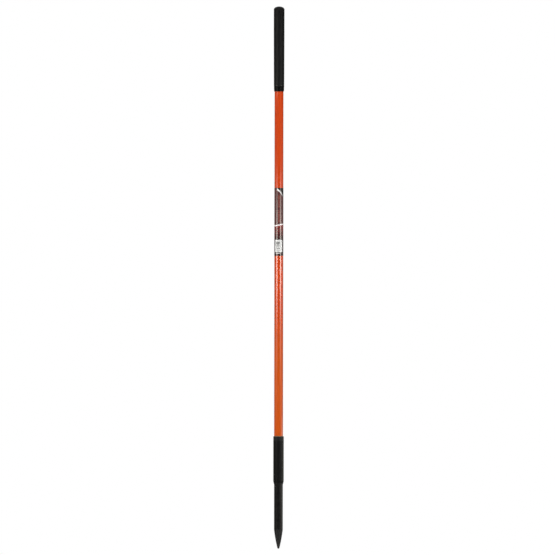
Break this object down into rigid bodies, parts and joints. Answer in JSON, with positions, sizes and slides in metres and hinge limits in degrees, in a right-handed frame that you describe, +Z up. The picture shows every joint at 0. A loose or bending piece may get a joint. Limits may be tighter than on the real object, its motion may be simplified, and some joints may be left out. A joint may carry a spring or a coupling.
{
  "type": "driveway snow marker",
  "caption": "Upright driveway marker: a fibreglass pole with a closed rubber grip on top and a pencil-pointed steel ground spike held by a ferrule.",
  "frame": {"origin": "on the marker's axis at the ground line, which is the ferrule's lower end; the exposed spike below it goes into the ground", "axes": "+Z up along the pole's axis, towards the grip; -Y is the front, where the label's sticker is"},
  "size_m": [0.03, 0.03, 1.524],
  "materials": {
    "grip_rubber": "satin",
    "plug_plastic": "matte",
    "orange_fibreglass": "gloss",
    "label_film": "gloss",
    "sticker_paper": "satin",
    "ferrule_steel": "satin",
    "cured_adhesive": "satin",
    "spike_steel": "satin",
    "dam_foam": "matte"
  },
  "bodies": {
    "root": {"grip": "grip_rubber", "top_plug": "plug_plastic", "pole_tube": "orange_fibreglass", "label_wrap": "label_film", "barcode_sticker": "sticker_paper", "ferrule": "ferrule_steel", "ferrule_adhesive": "cured_adhesive", "ground_spike": "spike_steel", "tang_adhesive": "cured_adhesive", "adhesive_dam": "dam_foam"}
  },
  "joints": []
}
